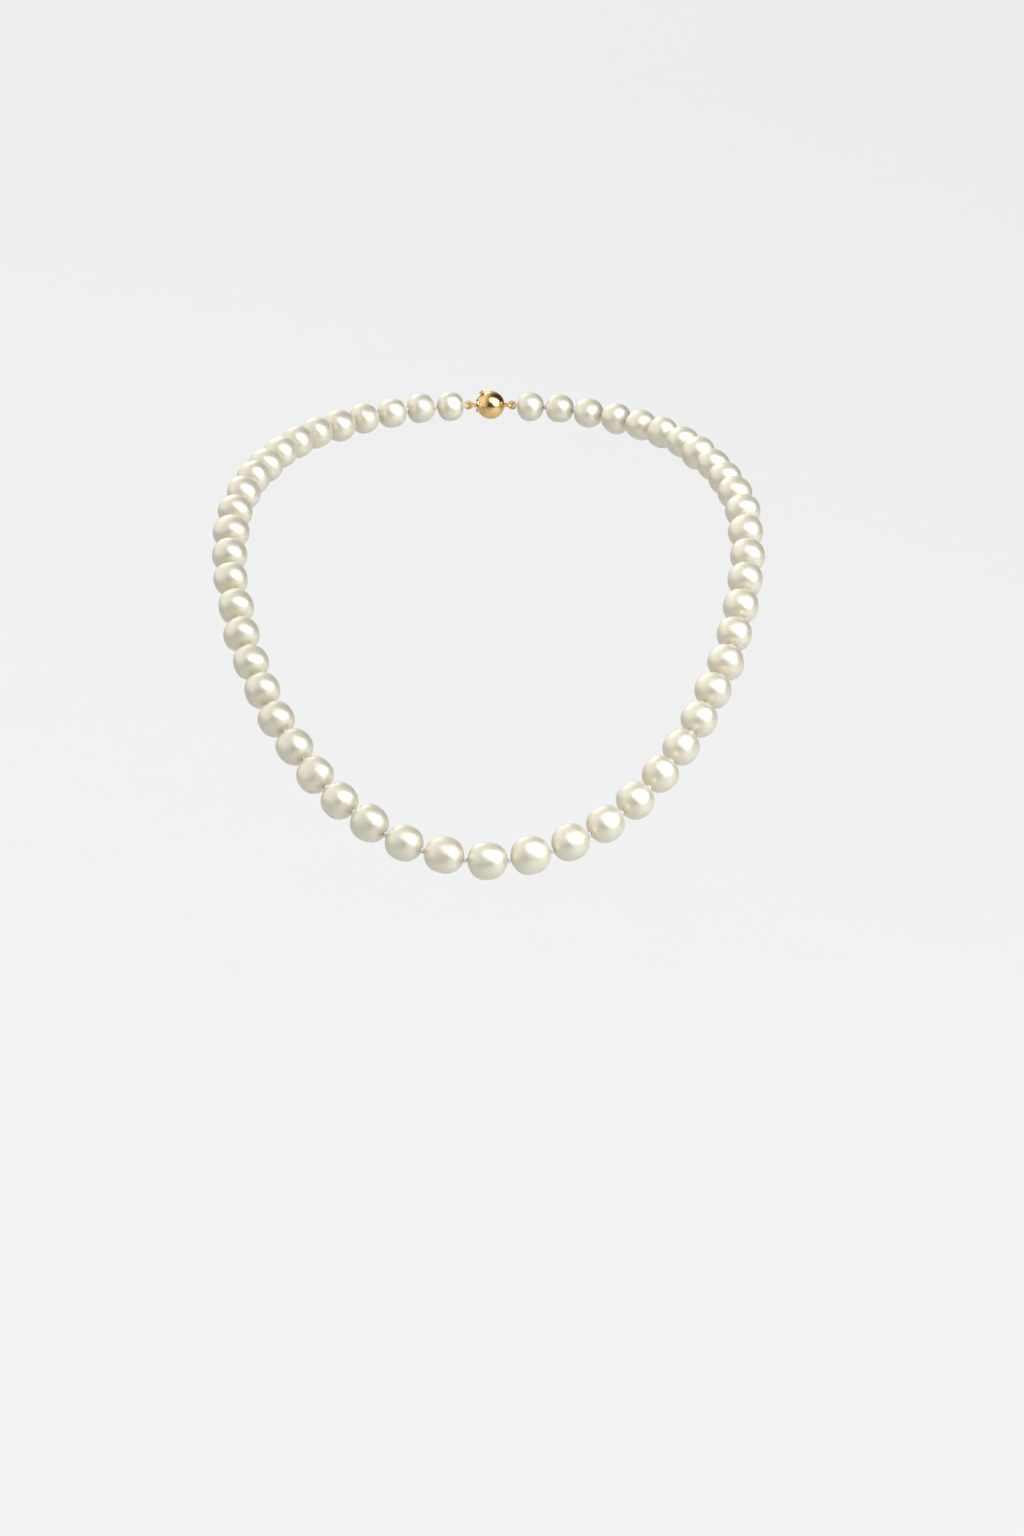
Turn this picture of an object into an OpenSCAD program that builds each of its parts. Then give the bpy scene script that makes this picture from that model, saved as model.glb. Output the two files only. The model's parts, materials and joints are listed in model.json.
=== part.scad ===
// A pearl necklace as it lies when worn: one strand of pearls on knotted silk, closed behind the neck by a
// push-in ball clasp. The front of the neck faces -Y. The origin is on the neck's axis, level with the clasp.
// The right side is laid out from the front centre pearl to the clasp, and the left side mirrors it.

/* [Pearls] */
// Pearls on each side of the centre pearl
side_pearls = 26; // [20:1:26]
// Diameter of the front pearls, across the thread
pearl_d = 8.2; // [7:0.1:9]
// How much smaller across the pearls beside the clasp are
back_taper = 1.2; // [0:0.1:1.5]
// How much the pearls differ in diameter, to either side of their place's size
pearl_variation = 0.15; // [0:0.01:0.2]
// Length of a side pearl along the thread, for each millimetre of its diameter
side_stretch = 0.975; // [0.9:0.005:1.1]
// How much longer than that the centre pearls are, for each millimetre of their diameter
front_stretch = 0.11; // [0:0.01:0.2]
// Hole drilled through each pearl
hole_d = 0.8; // [0.7:0.05:1]

/* [Silk] */
// Thickness of the doubled silk thread
thread_d = 0.45; // [0.3:0.01:0.5]
// Diameter of a knot
knot_d = 1; // [0.8:0.05:1.05]
// Space between two pearls, which the knot fills
knot_gap = 0.75; // [0.7:0.05:1]

/* [Gimp loops] */
// Radius at which the coiled wire bends around the clasp's ring
gimp_r = 0.8; // [0.8:0.05:1]
// Thickness of the coiled wire
gimp_d = 0.76; // [0.7:0.02:0.76]

/* [Clasp] */
// Diameter of the ball
ball_d = 7; // [6.8:0.1:8]
// Thickness of the ball's shell
ball_wall = 0.45; // [0.45:0.05:0.5]
// Radius of each end ring, at the middle of its wire
ring_r = 1; // [1:0.05:1.2]
// Thickness of the rings' wire
ring_wire_d = 0.6; // [0.5:0.05:0.6]
// Thickness of the spring strip
strip_t = 0.3; // [0.2:0.05:0.3]
// Width of the spring strip
strip_w = 2.4; // [2:0.1:2.4]
// How far the catch is pressed down in this model, in degrees
catch_press = 0; // [0:1:8]

/* [Hidden] */
$fn = 48;

// The silk takes this route when worn, from the front centre to the clasp: the control points of a smooth
// curve, which passes near them. It is scaled to the length of the pearls and knots that it carries.
ROUTE = [
    [0, -109, -62],
    [28, -100, -56],
    [49, -75, -38],
    [59, -47, -20],
    [61, -16, -6],
    [52, 17, -2],
    [34, 45, -1],
    [0, 57, 0]
];
route_steps = 210;

front_reach = 4;       // pearls from the centre over which the longer pearls fade out
taper_power = 4;       // the taper gathers at the back
play = 0.1;            // between clasp pieces that touch when worn
gimp_wall = 0.08;
loop_extra = 0.06;     // the doubled silk is this much thicker where it turns back in a gimp loop
big = 20;              // longer than any clasp piece, for cuts

// Pearls are numbered from the clasp's tongue, down the left side, round the front and up to its ball.
pearl_count = 2 * side_pearls + 1;
function two_digits(n) = n < 10 ? str("0", n) : str(n);
function pearl_name(n) = str("pearl_", two_digits(n));

// ---- Pearl sizes. A place is counted from the centre pearl, which is 0, and is negative on the left.

function size_at(place) = pearl_d - back_taper * pow(abs(place) / side_pearls, taper_power);
function pearl_across(place) = size_at(place) + pearl_variation * sin(place * 97 + 30);
function stretch_at(place) = side_stretch + front_stretch * exp(-pow(place / front_reach, 2));
function pearl_along(place) =
    size_at(place) * stretch_at(place) + pearl_variation * sin(abs(place) * 137);

// ---- The clasp's lengths along its own axis, counted from the middle of the ball

ball_r = ball_d / 2;
mouth_x = -ball_r + 0.6;                   // the flat face that the tongue goes in through
cover_t = 0.6;
cover_d = 3.6;
cover_x = mouth_x - play - cover_t;        // outer face of the tongue's cover
weld = 0.05;                               // how deep a ring's middle sinks into what it is soldered to
hook_play = (gimp_d + ring_wire_d) / 2 + play;
ball_ring_x = ball_r + ring_r - weld;
tongue_ring_x = cover_x - ring_r + weld;
ball_pivot_x = ball_ring_x + ring_r - hook_play;
tongue_pivot_x = tongue_ring_x - ring_r + hook_play;
clasp_half = (ball_pivot_x - tongue_pivot_x) / 2;
gimp_reach = play / 2 + gimp_d / 2 + 2 * gimp_r;   // from the end pearl to the wire that holds the ring

// ---- The route, by its length from the front centre

function mirror_x(p) = [-p[0], p[1], p[2]];
last = len(ROUTE) - 1;
ring_of_points = concat(ROUTE, [for (i = [last - 1:-1:1]) mirror_x(ROUTE[i])]);
function control(i) = ring_of_points[(i + len(ring_of_points)) % len(ring_of_points)];

// A uniform cubic B-spline: u counts control points
function spline(u) =
    let (i = floor(u), t = u - i)
    (
        pow(1 - t, 3) * control(i - 1)
        + (3 * pow(t, 3) - 6 * pow(t, 2) + 4) * control(i)
        + (-3 * pow(t, 3) + 3 * pow(t, 2) + 3 * t + 1) * control(i + 1)
        + pow(t, 3) * control(i + 2)
    ) / 6;

route_points = [for (i = [0:route_steps]) spline(i * last / route_steps)];
step_lengths = [for (i = [1:route_steps]) norm(route_points[i] - route_points[i - 1])];
function sum_to(list, n) = n <= 0 ? 0 : list[n - 1] + sum_to(list, n - 1);
route_lengths = [for (i = [0:route_steps]) sum_to(step_lengths, i)];
route_length = route_lengths[route_steps];

// Length along the silk from the front centre to the knot before a pearl on the right, or to the clasp's ring
function silk_to(place) =
    place == 1 ? (pearl_along(0) + knot_gap) / 2
    : silk_to(place - 1) + pearl_along(place - 1) + knot_gap
        + (place == side_pearls + 1 ? gimp_reach - knot_gap / 2 : 0);

half_strand = silk_to(side_pearls + 1) + clasp_half;
drape = half_strand / route_length;

length_and_point = [for (axis = [0:2]) [
    for (i = [0:route_steps]) [drape * route_lengths[i], drape * route_points[i][axis]]
]];
function point_at(length) = [for (axis = [0:2]) lookup(length, length_and_point[axis])];

// Where the strand bends: at each knot, and where each gimp loop holds the clasp, which lies along X
clasp_end = point_at(silk_to(side_pearls + 1));
clasp_pivot = [clasp_half, clasp_end[1], clasp_end[2]];
function pivot(place) =
    place < 0 ? mirror_x(pivot(-place))
    : place > side_pearls ? clasp_pivot
    : point_at(silk_to(place));
ball_centre = clasp_pivot - [ball_pivot_x, 0, 0];

// Moves children, which run along +X from the origin, to run from one point towards another
module from_to(start, end) {
    way = end - start;
    translate(start)
        rotate([0, -atan2(way[2], norm([way[0], way[1]])), atan2(way[1], way[0])])
            children();
}

// Moves children, which run along +X from the pivot before a pearl, to a place on the strand
module strung(place) {
    side = abs(place);
    start = side == 0 ? pivot(-1) : pivot(side);
    mirror([place < 0 ? 1 : 0, 0, 0])
        from_to(start, pivot(side + 1))
            children();
}

// ---- Shapes that repeat

module rod(length, d) {
    rotate([0, 90, 0])
        cylinder(h = length, d = d);
}

// An oval turned around the X axis, with a hole along it
module turned_oval(along, across, bore_d) {
    rotate([0, 90, 0])
        rotate_extrude()
            intersection() {
                scale([across / 2, along / 2])
                    circle(r = 1);
                translate([bore_d / 2, -along])
                    square([across, 2 * along]);
            }
}

// A ring lying flat, around the Z axis
module ring(r, wire_d) {
    rotate_extrude()
        translate([r, 0])
            circle(d = wire_d);
}

// ---- The pieces

module pearl(place) {
    along = pearl_along(place);
    color("ivory")
        strung(place)
            translate([(knot_gap + along) / 2, 0, 0])
                turned_oval(along, pearl_across(place), hole_d);
}

// Where the middle of a gimp loop lies, from the pivot before the end pearl
gimp_middle = knot_gap / 2 + pearl_along(side_pearls) + gimp_reach - gimp_r;

// One thread, doubled: it runs from pivot to pivot through the pearls, and turns back in each gimp loop
module silk_thread() {
    color("lavender") {
        for (place = [1 - side_pearls:side_pearls - 1])
            strung(place)
                rod(norm(pivot(abs(place) + 1) - (place == 0 ? pivot(-1) : pivot(abs(place)))), thread_d);
        for (place = [-side_pearls, side_pearls])
            strung(place) {
                rod(gimp_middle - gimp_r, thread_d);
                translate([gimp_middle, 0, 0])
                    rotate([90, 0, 0])
                        ring(gimp_r, thread_d + loop_extra);
            }
        for (place = [1:side_pearls], side = [-1, 1])
            strung(side * place)
                rotate([0, 90, 0])
                    sphere(d = knot_d);
    }
}

// A tube of coiled wire bent into a ring over the silk, open towards the pearl where the silk goes in
module gimp_loop(place) {
    color("gold")
        strung(place)
            difference() {
                translate([gimp_middle, 0, 0])
                    rotate([90, 0, 0])
                        difference() {
                            ring(gimp_r, gimp_d);
                            ring(gimp_r, gimp_d - 2 * gimp_wall);
                        }
                rod(gimp_middle - gimp_r, gimp_d - 2 * gimp_wall);
            }
}

// ---- The clasp. Its ball is hollow, and its tongue is a strip that is folded back as a spring.

pivot_x = ball_r - 1.5;                     // the fold, deep in the ball
strip_end_x = mouth_x + ball_wall + 0.15;   // the spring's end catches behind the mouth
slot_top = 0.45;
slot_bottom = -1.05;
slot_side_play = 0.5;
lower_z = -0.75;                            // underside of the lower strip
curl_play = 0.1;
knuckle_d = strip_t + 0.04;
pivot_z = lower_z + strip_t + knuckle_d / 2 + curl_play;
spring_rise = 12.8;                         // degrees that the spring stands up from the fold
lug_w = 1;
lug_t = 0.5;
lug_x = strip_end_x;                        // the lug stands on the spring's end
lug_top = ball_r - 0.3;
lug_pad_d = 0.9;
notch_w = lug_w + 0.4;

module clasp_ball() {
    color("gold")
        translate(ball_centre)
            difference() {
                union() {
                    // the hollow shell, turned around the clasp's axis and cut flat at the mouth
                    rotate([0, 90, 0])
                        rotate_extrude()
                            difference() {
                                intersection() {
                                    circle(d = ball_d);
                                    translate([0, mouth_x])
                                        square(big);
                                }
                                intersection() {
                                    circle(d = ball_d - 2 * ball_wall);
                                    translate([-big / 2, mouth_x + ball_wall])
                                        square(big);
                                }
                            }
                    translate([ball_ring_x, 0, 0])
                        ring(ring_r, ring_wire_d);
                }
                // the mouth, and the notch above it that the lug stands in
                translate([mouth_x - 1, -strip_w / 2 - slot_side_play, slot_bottom])
                    cube([1 + ball_wall + 0.3, strip_w + 2 * slot_side_play, slot_top - slot_bottom]);
                translate([mouth_x - 1, -notch_w / 2, slot_top - 0.1])
                    cube([lug_x + lug_t / 2 + 0.3 - (mouth_x - 1), notch_w, big]);
            }
}

module clasp_tongue() {
    color("gold")
        translate(ball_centre) {
            translate([cover_x, 0, 0])
                rod(cover_t, cover_d);
            translate([tongue_ring_x, 0, 0])
                ring(ring_r, ring_wire_d);
            translate([cover_x + cover_t - 0.2, -strip_w / 2, lower_z])
                cube([pivot_x - cover_x - cover_t + 0.2, strip_w, strip_t]);
            // the fold, curled around the spring's knuckle
            translate([pivot_x, strip_w / 2, pivot_z])
                rotate([90, 0, 0])
                    difference() {
                        cylinder(h = strip_w, d = knuckle_d + 2 * curl_play + 2 * strip_t);
                        translate([0, 0, -1])
                            cylinder(h = strip_w + 2, d = knuckle_d + 2 * curl_play);
                        translate([-big, -(knuckle_d / 2 + curl_play), -1])
                            cube([big, big, strip_w + 2]);
                    }
        }
}

module clasp_spring() {
    strip_length = (pivot_x - strip_end_x) / cos(spring_rise);
    color("gold")
        translate(ball_centre + [pivot_x, 0, pivot_z])
            rotate([0, -catch_press, 0]) {
                rotate([90, 0, 0])
                    translate([0, 0, -strip_w / 2])
                        cylinder(h = strip_w, d = knuckle_d);
                rotate([0, spring_rise, 0])
                    translate([-strip_length, -strip_w / 2, -strip_t / 2])
                        cube([strip_length, strip_w, strip_t]);
                // the lug that a thumbnail presses
                lug_foot = (pivot_x - lug_x) * tan(spring_rise);
                translate([lug_x - pivot_x - lug_t / 2, -lug_w / 2, lug_foot - 0.1])
                    cube([lug_t, lug_w, lug_top - pivot_z - lug_foot + 0.1]);
                translate([lug_x - pivot_x, lug_w / 2, lug_top - pivot_z])
                    rotate([90, 0, 0])
                        cylinder(h = lug_w, d = lug_pad_d);
            }
}

for (n = [1:pearl_count])
    pearl(n - side_pearls - 1);
silk_thread();
gimp_loop(-side_pearls);  // left_gimp_loop
gimp_loop(side_pearls);  // right_gimp_loop
clasp_ball();
clasp_tongue();
clasp_spring();
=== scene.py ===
"""The looks of the pearl necklace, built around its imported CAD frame.

Baroque nacre pearls, twisted and knotted silk, coiled gimp wire and a polished gold ball clasp.
Lengths are in metres unless they are given in millimetres, as 8.2 * MM.
"""

import json
import math
import random

import bpy
import numpy as np
from mathutils import Matrix, Vector

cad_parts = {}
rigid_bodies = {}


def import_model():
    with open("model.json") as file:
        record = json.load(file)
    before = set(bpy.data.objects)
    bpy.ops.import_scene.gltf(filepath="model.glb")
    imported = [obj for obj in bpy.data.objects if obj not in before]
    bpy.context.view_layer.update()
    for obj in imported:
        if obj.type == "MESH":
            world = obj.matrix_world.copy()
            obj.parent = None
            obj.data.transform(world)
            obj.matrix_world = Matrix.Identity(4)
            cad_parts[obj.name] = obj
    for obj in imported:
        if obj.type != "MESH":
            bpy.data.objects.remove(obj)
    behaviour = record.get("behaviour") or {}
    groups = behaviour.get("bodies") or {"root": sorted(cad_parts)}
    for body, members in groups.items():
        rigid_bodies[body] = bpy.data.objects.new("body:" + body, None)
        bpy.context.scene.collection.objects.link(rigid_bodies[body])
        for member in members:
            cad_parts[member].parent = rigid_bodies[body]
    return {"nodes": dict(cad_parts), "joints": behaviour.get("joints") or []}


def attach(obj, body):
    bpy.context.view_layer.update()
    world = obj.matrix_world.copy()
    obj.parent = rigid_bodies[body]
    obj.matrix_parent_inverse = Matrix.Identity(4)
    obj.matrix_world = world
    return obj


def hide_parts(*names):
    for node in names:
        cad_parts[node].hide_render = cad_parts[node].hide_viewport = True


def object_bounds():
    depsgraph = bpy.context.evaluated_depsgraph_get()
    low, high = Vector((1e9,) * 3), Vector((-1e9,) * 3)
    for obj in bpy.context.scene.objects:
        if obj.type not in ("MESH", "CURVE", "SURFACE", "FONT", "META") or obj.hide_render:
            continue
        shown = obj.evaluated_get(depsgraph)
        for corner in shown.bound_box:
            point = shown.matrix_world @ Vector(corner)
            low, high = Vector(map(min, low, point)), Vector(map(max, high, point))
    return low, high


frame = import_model()
cad_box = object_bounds()

MM = 0.001
TAU = 2 * math.pi

# ---- Driving values ------------------------------------------------------------------------------

# Pearls
SEGMENTS = 64              # around the drill hole
RINGS = 40                 # from one end of the hole to the other
RIM_STEPS = 3
HOLE_R = 0.4 * MM
RIM_R = 0.1 * MM           # the hole's edge is rounded by this much
DIMPLE = 0.05 * MM         # how far the nacre dips around the hole
DIMPLE_R = 0.8 * MM
BLUNT = 0.85               # below 1, the ends are blunter than an oval's
LUMP = 0.055               # how far a pearl is from a true oval, as a share of its radius
LUMP_WAVES = (1, 2, 2, 3, 4)   # how many times each lump repeats around the hole
EGG = 0.02                 # how much fuller one end may be than the other
TONES = (0.3, 0.7)         # how rosy a pearl is, from the greenest to the rosiest

# Silk
CORD_R = 0.225 * MM        # the doubled silk, from its middle to its outside
PLY_R = 0.12 * MM          # one of its two strands
TWIST = 2.2 * MM           # length of one full twist of the two strands
PLY_SIDES = 10
RUN_STEPS = 30             # points along the silk through one pearl
LOOP_STEPS = 60            # points around the silk of a gimp loop
KNOT_R = 0.44 * MM         # radius at which the silk wraps around itself in a knot
KNOT_TURNS = 2.6
KNOT_STEPS = 64
KNOT_HALF = 0.42 * MM      # half the length of a knot, before its turns draw it in
KNOT_DRAWN = 0.42          # the share of its length by which they do
KNOT_SWELL = 3             # how soon the silk reaches its full radius in the knot

# Gimp
GIMP_WIRE_R = 0.065 * MM
GIMP_WIRE_SIDES = 6
GIMP_PITCH = 0.145 * MM
GIMP_STEPS = 14            # points around one turn of the wire
GIMP_GAP = math.radians(28)   # the coil stops this far from the silk's way in, to either side

# Clasp
POLISHED_EDGE = 0.05 * MM
SHARP = math.radians(40)   # edges that turn by more than this are softened
SAME_POINT = 0.001 * MM

# Materials
NOISE_RANGE = (0.3, 0.7)   # nearly all of a noise lies between these
NOISES_APART = 40          # so far apart that two pieces' noises don't resemble each other
HAIRLINES = (1, 14, 14)    # stretches the noise of polishing marks along X

# Camera, as the photograph is taken: 20 degrees down, from just under a metre away
CAMERA_AT = (0.0054, -0.9644, 0.2734)
CAMERA_DOWN = math.radians(20)
LENS_MM = 98.4
SENSOR_MM = 36

# Light
DAYLIGHT = (0.93, 0.97, 1.0)
DIM_ROOM = 0.05            # brightness of the room behind the camera
BRIGHT_WALL = 1.1          # brightness of the white wall to the left and behind the necklace
WALL_WAY = (-0.8, 0.35, 0)
WALL_FADE = (-0.1, 0.55)   # from the room to the wall, by how far a direction lies along WALL_WAY

# Floor
FLOOR_BELOW = 120 * MM     # from the lowest pearl to the table
FLOOR_HALF = 12.0
PALE = (0.84, 0.84, 0.845)
FLOOR_LIT = 0.61           # how much of the light the floor gives back to the pearls
FLOOR_SEEN = 0.07          # how much of it the camera sees, on top of an even glow
FLOOR_GLOW = 0.91


# ---- Places on the strand ------------------------------------------------------------------------

def ends_of(body):
    """The points where a pearl's silk bends, nearest to the centre pearl first."""
    found = []
    for joint in frame["joints"]:
        if joint["name"] != "catch_press" and body in (joint["parent"], joint["child"]):
            found.append(Vector(joint["pos_m"]))
    return found


def along(start, end):
    """A frame at start with its X axis towards end and its Y axis level."""
    x = (end - start).normalized()
    y = Vector((0, 0, 1)).cross(x).normalized()
    z = x.cross(y)
    turned = Matrix((x, y, z)).transposed().to_4x4()
    return Matrix.Translation(start) @ turned


def box_in(node, place):
    """Lowest and highest corner of a CAD node, measured in the frame given by place."""
    inverse = place.inverted()
    corners = np.array([inverse @ v.co for v in frame["nodes"][node].data.vertices])
    return corners.min(0), corners.max(0)


PEARLS = sorted(n for n in frame["nodes"] if n.startswith("pearl_"))
CENTRE = PEARLS[len(PEARLS) // 2]


# ---- Mesh makers ---------------------------------------------------------------------------------

def piece(name, parts, material, body, replaced, place=Matrix.Identity(4)):
    """One object from several (points, faces) shells, riding on a CAD body and standing for a CAD node."""
    points = []
    faces = []
    for shell_points, shell_faces in parts:
        first = len(points)
        points.extend(shell_points)
        faces.extend([tuple(first + i for i in face) for face in shell_faces])
    mesh = bpy.data.meshes.new(name)
    mesh.from_pydata([tuple(p) for p in points], [], faces)
    mesh.shade_smooth()
    mesh.materials.append(material)
    made = bpy.data.objects.new(name, mesh)
    bpy.context.scene.collection.objects.link(made)
    made.matrix_world = place
    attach(made, body)
    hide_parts(*replaced)
    return made


def grid_faces(rows, columns, wrap_rows=False):
    """Quads between rows of points, each row a closed ring."""
    faces = []
    for r in range(rows if wrap_rows else rows - 1):
        below = r * columns
        above = (r + 1) % rows * columns
        for c in range(columns):
            d = (c + 1) % columns
            faces.append((below + c, below + d, above + d, above + c))
    return faces


def tube(path, radius, sides, closed=False):
    """A round tube along a path of points, with flat ends unless it is closed."""
    path = np.array(path)
    ways = np.roll(path, -1, 0) - np.roll(path, 1, 0)
    if not closed:
        ways[0] = path[1] - path[0]
        ways[-1] = path[-1] - path[-2]
    ways /= np.linalg.norm(ways, axis=1)[:, None]
    out = np.cross(ways[0], (0.3, 0.5, 0.81))
    points = []
    for at, way in zip(path, ways):
        out = out - way * out.dot(way)
        out /= np.linalg.norm(out)
        side = np.cross(way, out)
        for k in range(sides):
            angle = TAU * k / sides
            points.append(at + radius * (out * math.cos(angle) + side * math.sin(angle)))
    faces = grid_faces(len(path), sides, wrap_rows=closed)
    if not closed:
        faces.append(tuple(reversed(range(sides))))
        faces.append(tuple(len(points) - sides + k for k in range(sides)))
    return points, faces


def cord(path):
    """The doubled silk along a path: two strands, twisted around each other."""
    path = np.array(path)
    steps = np.linalg.norm(np.diff(path, axis=0), axis=1)
    lengths = np.concatenate([[0], np.cumsum(steps)])
    ways = np.gradient(path, axis=0)
    ways /= np.linalg.norm(ways, axis=1)[:, None]
    out = np.cross(ways[0], (0.2, 0.4, 0.9))
    strands = ([], [])
    for at, way, length in zip(path, ways, lengths):
        out = out - way * out.dot(way)
        out /= np.linalg.norm(out)
        side = np.cross(way, out)
        for half, strand in enumerate(strands):
            angle = TAU * length / TWIST + math.pi * half
            strand.append(at + (CORD_R - PLY_R) * (out * math.cos(angle) + side * math.sin(angle)))
    return [tube(strand, PLY_R, PLY_SIDES) for strand in strands]


# ---- The pieces ----------------------------------------------------------------------------------

def pearl_shell(half_length, radius, seed):
    """A pearl along the X axis: an oval with lumps of its own, dipping a little into its hole."""
    chance = random.Random(seed)
    lumps = []
    for waves in LUMP_WAVES:
        size = LUMP / waves * chance.uniform(0.35, 1)
        lumps.append((waves, size, chance.uniform(0, TAU), chance.uniform(-1, 1)))
    egg = chance.uniform(-EGG, EGG)

    def swell(theta, phi):
        """How much the pearl has grown past its oval, theta from the end of the hole and phi around it."""
        total = egg * math.cos(3 * theta)
        for waves, size, turn, lean in lumps:
            total += size * math.sin(theta) ** waves * math.cos(waves * phi + turn + lean * math.cos(theta))
        return 1 + total * math.sin(theta) ** 2

    first = math.asin((HOLE_R + RIM_R) / radius)
    rows = []
    for i in range(RINGS + 1):
        theta = first + (math.pi - 2 * first) * i / RINGS
        row = []
        for k in range(SEGMENTS):
            phi = TAU * k / SEGMENTS
            grown = swell(theta, phi)
            off = radius * math.sin(theta) * grown
            dip = DIMPLE * math.exp(-(off / DIMPLE_R) ** 2) * math.copysign(1, math.cos(theta))
            x = half_length * math.copysign(abs(math.cos(theta)) ** BLUNT, math.cos(theta)) * grown - dip
            row.append((x, off * math.cos(phi), off * math.sin(phi)))
        rows.append(row)
    for end in (-1, 1):
        mouth = rows[-1 if end < 0 else 0][0][0]
        rim = []
        for step in range(1, RIM_STEPS + 1):
            bend = math.pi / 2 * step / RIM_STEPS
            off = HOLE_R + RIM_R * (1 - math.sin(bend))
            x = mouth - end * RIM_R * (1 - math.cos(bend))
            rim.append([
                (x, off * math.cos(TAU * k / SEGMENTS), off * math.sin(TAU * k / SEGMENTS))
                for k in range(SEGMENTS)
            ])
        rows = rows + rim if end < 0 else list(reversed(rim)) + rows
    points = [p for row in rows for p in row]
    return points, grid_faces(len(rows), SEGMENTS, wrap_rows=True)


def knot_path():
    """The silk wound around itself in a lump at the origin, from -X to +X."""
    path = []
    for i in range(KNOT_STEPS + 1):
        share = i / KNOT_STEPS
        reach = min(1, math.sin(math.pi * share) * KNOT_SWELL)
        reach = reach * reach * (3 - 2 * reach)
        angle = TAU * KNOT_TURNS * share
        x = KNOT_HALF * (2 * share - 1) * (1 - KNOT_DRAWN * reach)
        path.append((x, KNOT_R * reach * math.cos(angle), KNOT_R * reach * math.sin(angle)))
    return path


def straight(x_to):
    """The way of the silk from the inner pivot along the hole."""
    return [(x_to * i / RUN_STEPS, 0, 0) for i in range(RUN_STEPS + 1)]


def circle(middle_x, radius):
    """A circle in the XZ plane, from its side nearest to the pearl all the way round."""
    turns = [TAU * i / LOOP_STEPS for i in range(LOOP_STEPS + 1)]
    return [(middle_x - radius * math.cos(t), 0, radius * math.sin(t)) for t in turns]


def coil(middle_x, loop_r, coil_r):
    """Fine wire wound into a tube, which follows the circle of a gimp loop."""
    length = loop_r * (TAU - 2 * GIMP_GAP)
    turns = int(length / GIMP_PITCH)
    steps = turns * GIMP_STEPS
    path = []
    for i in range(steps + 1):
        around = GIMP_GAP + (TAU - 2 * GIMP_GAP) * i / steps
        angle = TAU * turns * i / steps
        off = loop_r + coil_r * math.cos(angle)
        path.append((middle_x - off * math.cos(around), coil_r * math.sin(angle), off * math.sin(around)))
    return tube(path, GIMP_WIRE_R, GIMP_WIRE_SIDES)


def build_strand(nacre, silk, gimp):
    """Each pearl with the knot before it and the silk inside it, and a gimp loop on each end pearl."""
    for name in PEARLS:
        number = name[-2:]
        start, end = ends_of(name)
        place = along(start, end)
        low, high = box_in(name, place)
        middle = Matrix.Translation(((low[0] + high[0]) / 2, 0, 0))
        shell = pearl_shell((high[0] - low[0]) / 2, (high[1] - low[1]) / 2, int(number))
        turn = Matrix.Rotation(random.Random(number).uniform(0, TAU), 4, "X")
        pearl = piece(f"nacre_pearl_{number}", [shell], nacre, name, [name], place @ middle @ turn)
        tone = pearl.data.attributes.new("tone", "FLOAT", "POINT")
        own_tone = random.Random(f"tone {number}").uniform(*TONES)
        tone.data.foreach_set("value", [own_tone] * len(pearl.data.vertices))

        run = cord(straight((end - start).length))
        knot = [] if name == CENTRE else cord(knot_path())
        gimp_loop = {PEARLS[0]: "left_gimp_loop", PEARLS[-1]: "right_gimp_loop"}.get(name)
        if gimp_loop:
            low, high = box_in(gimp_loop, place)
            coil_outer = (high[1] - low[1]) / 2
            loop_r = (high[2] - low[2]) / 2 - coil_outer
            middle_x = high[0] - loop_r - coil_outer
            run = cord(straight(middle_x - loop_r))
            run += cord(circle(middle_x, loop_r))
            wire = coil(middle_x, loop_r, coil_outer - GIMP_WIRE_R)
            piece(f"coiled_{gimp_loop}", [wire], gimp, name, [gimp_loop], place)
        piece(f"silk_link_{number}", run + knot, silk, name, ["silk_thread"], place)


# ---- Materials -----------------------------------------------------------------------------------

def new_material(name, **values):
    """A material with the values that are the same all over set on the shader's own sockets."""
    made = bpy.data.materials.new(name)
    made.use_nodes = True
    shader = made.node_tree.nodes["Principled BSDF"]
    for socket, value in values.items():
        shader.inputs[socket.replace("_", " ")].default_value = value
    return made, made.node_tree, shader


def add(tree, kind, **values):
    """A node, with sockets set by their names and settings by theirs."""
    node = tree.nodes.new(kind)
    for name, value in values.items():
        socket = name.replace("_", " ")
        if socket in node.inputs:
            node.inputs[socket].default_value = value
        else:
            setattr(node, name, value)
    return node


def noise(tree, where, size, detail=2.0, own=None):
    """A noise whose features are about size metres across, and differ between pieces if own does."""
    node = add(tree, "ShaderNodeTexNoise", Scale=1 / size, Detail=detail)
    tree.links.new(where, node.inputs["Vector"])
    if own:
        node.noise_dimensions = "4D"
        apart = add(tree, "ShaderNodeMath", operation="MULTIPLY")
        apart.inputs[1].default_value = NOISES_APART
        tree.links.new(own, apart.inputs[0])
        tree.links.new(apart.outputs["Value"], node.inputs["W"])
    return node


def ramp(tree, fac, stops):
    """Colours between (position, colour) stops."""
    node = tree.nodes.new("ShaderNodeValToRGB")
    elements = node.color_ramp.elements
    while len(elements) < len(stops):
        elements.new(0.5)
    for element, (position, colour) in zip(elements, stops):
        element.position = position
        element.color = (*colour, 1)
    tree.links.new(fac, node.inputs["Fac"])
    return node.outputs["Color"]


def spread(tree, value, low, high, to_low, to_high):
    """Maps the values from low to high onto to_low to to_high."""
    node = add(tree, "ShaderNodeMapRange", From_Min=low, From_Max=high, To_Min=to_low, To_Max=to_high)
    tree.links.new(value, node.inputs["Value"])
    return node.outputs["Result"]


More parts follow.
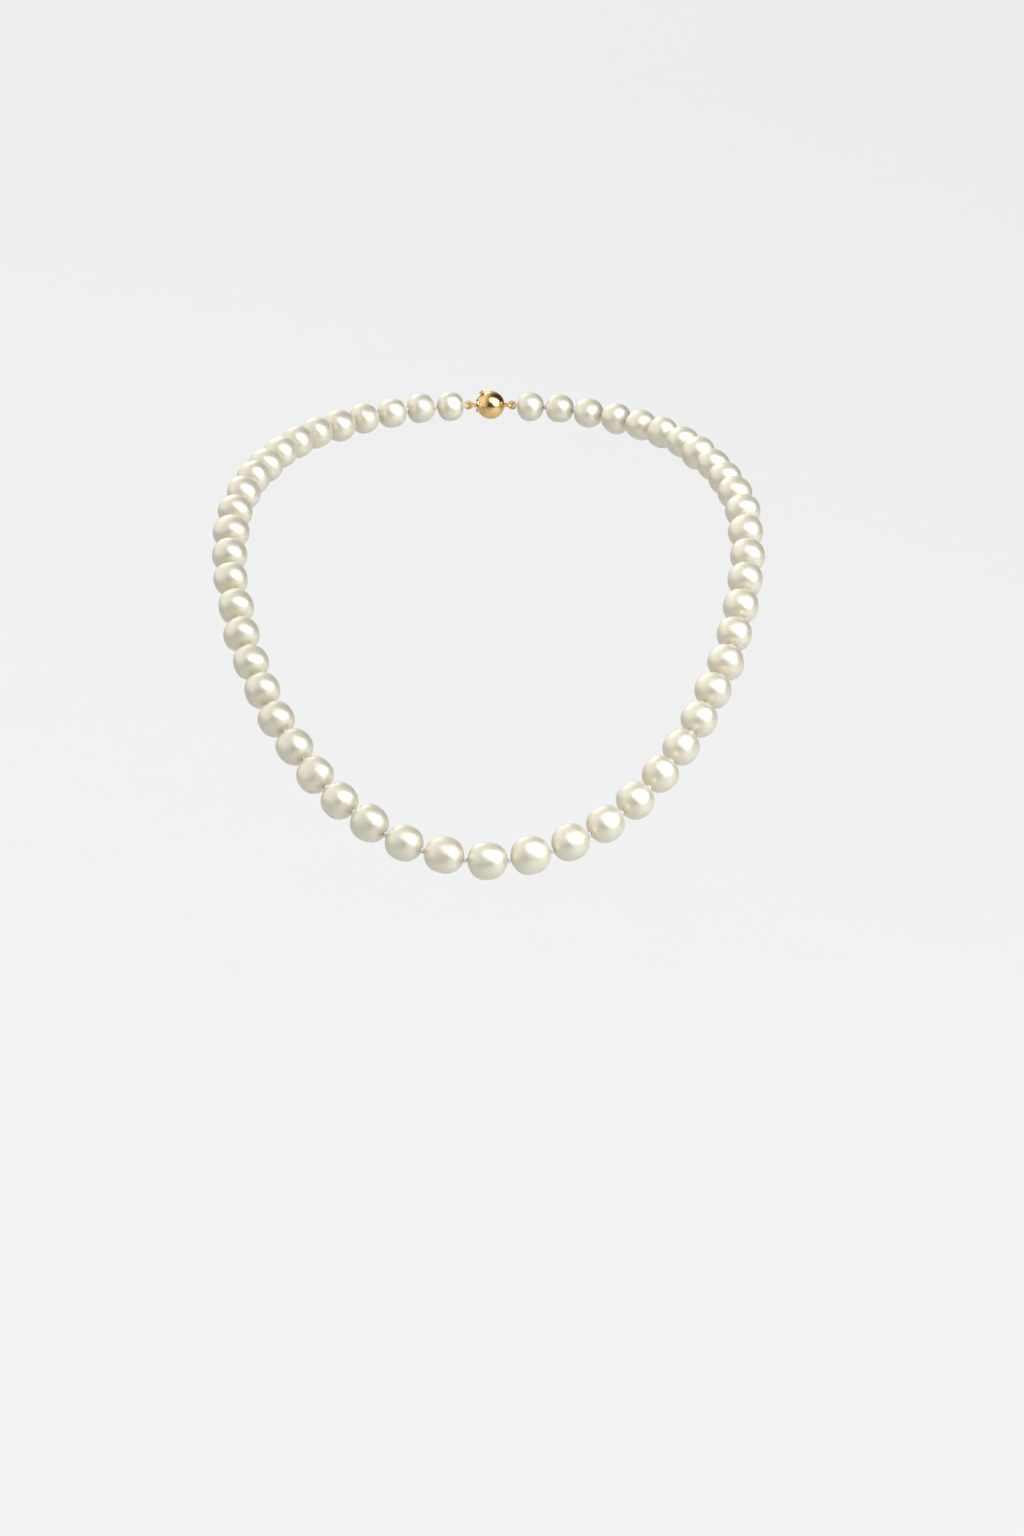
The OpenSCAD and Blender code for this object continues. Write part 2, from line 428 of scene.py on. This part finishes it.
def bump(tree, height, distance, after=None):
    """A bump as high as distance, on top of another if there is one."""
    node = add(tree, "ShaderNodeBump", Distance=distance)
    tree.links.new(height, node.inputs["Height"])
    if after:
        tree.links.new(after, node.inputs["Normal"])
    return node.outputs["Normal"]


def nacre_material():
    """Cream nacre: a satin lustre from its layers under a thin gloss, a little see-through at its edges."""
    made, tree, shader = new_material(
        "nacre",
        Metallic=0.6, IOR=1.6, Subsurface_Weight=0.35, Subsurface_Radius=(1.0, 0.62, 0.36),
        Subsurface_Scale=1.2 * MM, Coat_Weight=0.6, Coat_Roughness=0.4, Coat_IOR=1.7,
        Sheen_Weight=0.5, Sheen_Roughness=0.2, Sheen_Tint=(1.0, 0.94, 0.78, 1),
    )
    where = tree.nodes.new("ShaderNodeTexCoord").outputs["Object"]
    own = add(tree, "ShaderNodeAttribute", attribute_name="tone").outputs["Fac"]

    # each pearl has its own overtone, from a greenish ivory to rose, and drifts a little around it
    cloud = noise(tree, where, 5 * MM, own=own)
    drift = spread(tree, cloud.outputs["Fac"], *NOISE_RANGE, -0.3, 0.3)
    tone = add(tree, "ShaderNodeMath", operation="ADD")
    tree.links.new(drift, tone.inputs[0])
    tree.links.new(own, tone.inputs[1])
    colour = ramp(tree, tone.outputs["Value"], [
        (0.0, (0.80, 0.765, 0.60)), (0.5, (0.81, 0.755, 0.60)), (1.0, (0.82, 0.745, 0.605)),
    ])
    tree.links.new(colour, shader.inputs["Base Color"])

    satin = noise(tree, where, 1.3 * MM, detail=4, own=own)
    tree.links.new(spread(tree, satin.outputs["Fac"], *NOISE_RANGE, 0.37, 0.46), shader.inputs["Roughness"])

    # the nacre's growth: faint ripples under a fine grain
    ripples = noise(tree, where, 0.9 * MM, detail=2, own=own)
    rippled = bump(tree, ripples.outputs["Fac"], 0.02 * MM)
    grain = noise(tree, where, 0.12 * MM, detail=4, own=own)
    tree.links.new(bump(tree, grain.outputs["Fac"], 0.0025 * MM, after=rippled), shader.inputs["Normal"])
    return made


def silk_material():
    """Lavender-white silk with a soft sheen over fine fibres."""
    made, tree, shader = new_material(
        "silk", IOR=1.5, Sheen_Weight=0.5, Sheen_Roughness=0.4, Sheen_Tint=(0.97, 0.93, 1.0, 1),
        Subsurface_Weight=0.2, Subsurface_Radius=(1.0, 0.8, 0.9), Subsurface_Scale=0.2 * MM,
    )
    where = tree.nodes.new("ShaderNodeTexCoord").outputs["Object"]
    shade = noise(tree, where, 0.25 * MM, detail=3)
    colour = ramp(tree, shade.outputs["Fac"], [(0.3, (0.80, 0.76, 0.83)), (0.7, (0.93, 0.90, 0.95))])
    tree.links.new(colour, shader.inputs["Base Color"])
    tree.links.new(spread(tree, shade.outputs["Fac"], *NOISE_RANGE, 0.5, 0.7), shader.inputs["Roughness"])
    fibres = noise(tree, where, 0.03 * MM, detail=4)
    tree.links.new(bump(tree, fibres.outputs["Fac"], 0.01 * MM), shader.inputs["Normal"])
    return made


def gold_material(name, colour, roughness):
    """Polished gold with faint hairlines and a few duller patches."""
    made, tree, shader = new_material(name, Metallic=1.0)
    where = tree.nodes.new("ShaderNodeTexCoord").outputs["Object"]
    patch = noise(tree, where, 2.5 * MM, detail=3)
    dull = tuple(0.82 * c for c in colour)
    gold = ramp(tree, patch.outputs["Fac"], [(0.35, dull), (0.6, colour)])
    tree.links.new(gold, shader.inputs["Base Color"])
    worn = noise(tree, where, 0.6 * MM, detail=5)
    polish = spread(tree, worn.outputs["Fac"], *NOISE_RANGE, roughness, roughness + 0.14)
    tree.links.new(polish, shader.inputs["Roughness"])
    lines = add(tree, "ShaderNodeMapping")
    lines.inputs["Scale"].default_value = HAIRLINES
    tree.links.new(where, lines.inputs["Vector"])
    hair = noise(tree, lines.outputs["Vector"], 0.8 * MM, detail=4)
    tree.links.new(bump(tree, hair.outputs["Fac"], 0.002 * MM), shader.inputs["Normal"])
    return made


# ---- Stage, light and camera ---------------------------------------------------------------------

def pale_floor(height):
    """A pale floor. The camera sees it almost evenly pale, and the pearls see it as it is lit."""
    made, tree, shader = new_material("pale_floor", Roughness=0.7, Emission_Color=(*PALE, 1))
    seen = tree.nodes.new("ShaderNodeLightPath").outputs["Is Camera Ray"]
    where = tree.nodes.new("ShaderNodeTexCoord").outputs["Object"]
    grain = noise(tree, where, 30 * MM)
    shade = spread(tree, grain.outputs["Fac"], *NOISE_RANGE, 0.98, 1.02)
    albedo = add(tree, "ShaderNodeMath", operation="MULTIPLY")
    tree.links.new(shade, albedo.inputs[0])
    tree.links.new(spread(tree, seen, 0, 1, FLOOR_LIT, FLOOR_SEEN), albedo.inputs[1])
    tree.links.new(albedo.outputs["Value"], shader.inputs["Base Color"])
    tree.links.new(spread(tree, seen, 0, 1, 0, FLOOR_GLOW), shader.inputs["Emission Strength"])
    mesh = bpy.data.meshes.new("floor")
    corners = [(x * FLOOR_HALF, y * FLOOR_HALF, height) for x, y in ((-1, -1), (1, -1), (1, 1), (-1, 1))]
    mesh.from_pydata(corners, [], [(0, 1, 2, 3)])
    mesh.materials.append(made)
    floor = bpy.data.objects.new("floor", mesh)
    bpy.context.scene.collection.objects.link(floor)


def softbox(name, azimuth, elevation, distance, size, power, colour):
    """A round soft lamp that faces the necklace. Azimuth 0 is the camera's side, and 90 is its right."""
    a = math.radians(azimuth)
    e = math.radians(elevation)
    way = Vector((math.sin(a) * math.cos(e), -math.cos(a) * math.cos(e), math.sin(e)))
    data = bpy.data.lights.new(name, "AREA")
    data.shape = "DISK"
    data.size = size
    data.energy = power
    data.color = colour
    lamp = bpy.data.objects.new(name, data)
    bpy.context.scene.collection.objects.link(lamp)
    middle = (cad_box[0] + cad_box[1]) / 2
    lamp.location = middle + distance * way
    lamp.rotation_euler = way.to_track_quat("Z", "Y").to_euler()


def light_and_camera():
    """Three soft lamps, a room with one white wall, and the camera."""
    scene = bpy.context.scene
    world = bpy.data.worlds.new("studio")
    world.use_nodes = True
    tree = world.node_tree
    room = tree.nodes["Background"]
    room.inputs["Color"].default_value = (1, 1, 1, 1)
    where = tree.nodes.new("ShaderNodeTexCoord").outputs["Generated"]
    towards = add(tree, "ShaderNodeVectorMath", operation="DOT_PRODUCT")
    towards.inputs[1].default_value = WALL_WAY
    tree.links.new(where, towards.inputs[0])
    lit = spread(tree, towards.outputs["Value"], *WALL_FADE, DIM_ROOM, BRIGHT_WALL)
    tree.links.new(lit, room.inputs["Strength"])
    # the camera sees it in the same pale shade on every side
    seen = add(tree, "ShaderNodeBackground", Color=(*PALE, 1), Strength=1.0)
    mix = tree.nodes.new("ShaderNodeMixShader")
    tree.links.new(tree.nodes.new("ShaderNodeLightPath").outputs["Is Camera Ray"], mix.inputs["Fac"])
    tree.links.new(room.outputs["Background"], mix.inputs[1])
    tree.links.new(seen.outputs["Background"], mix.inputs[2])
    tree.links.new(mix.outputs["Shader"], tree.nodes["World Output"].inputs["Surface"])
    scene.world = world
    scene.view_settings.view_transform = "Standard"

    softbox("key", azimuth=56, elevation=33, distance=0.8, size=0.95, power=7.4, colour=DAYLIGHT)
    softbox("overhead", azimuth=25, elevation=59, distance=1.0, size=0.9, power=4.8, colour=DAYLIGHT)
    softbox("behind", azimuth=200, elevation=32, distance=1.1, size=0.7, power=1.3, colour=(1, 1, 1))

    data = bpy.data.cameras.new("camera")
    data.lens = LENS_MM
    data.sensor_width = SENSOR_MM
    camera = bpy.data.objects.new("camera", data)
    scene.collection.objects.link(camera)
    camera.location = CAMERA_AT
    camera.rotation_euler = (math.pi / 2 - CAMERA_DOWN, 0, 0)
    scene.camera = camera


def finish_clasp(gold):
    """The clasp's CAD pieces are right as they are: they get their gold, and polished edges."""
    for name in ("clasp_ball", "clasp_tongue", "clasp_spring"):
        node = frame["nodes"][name]
        node.data.materials.clear()
        node.data.materials.append(gold)
        weld = node.modifiers.new("weld", "WELD")
        weld.merge_threshold = SAME_POINT
        edges = node.modifiers.new("polished_edges", "BEVEL")
        edges.width = POLISHED_EDGE
        edges.segments = 2
        edges.limit_method = "ANGLE"
        edges.angle_limit = SHARP
        edges.harden_normals = True


finish_clasp(gold_material("gold", (0.90, 0.61, 0.26), 0.1))
build_strand(nacre_material(), silk_material(), gold_material("gimp_gold", (0.93, 0.68, 0.34), 0.18))
pale_floor(cad_box[0].z - FLOOR_BELOW)
light_and_camera()
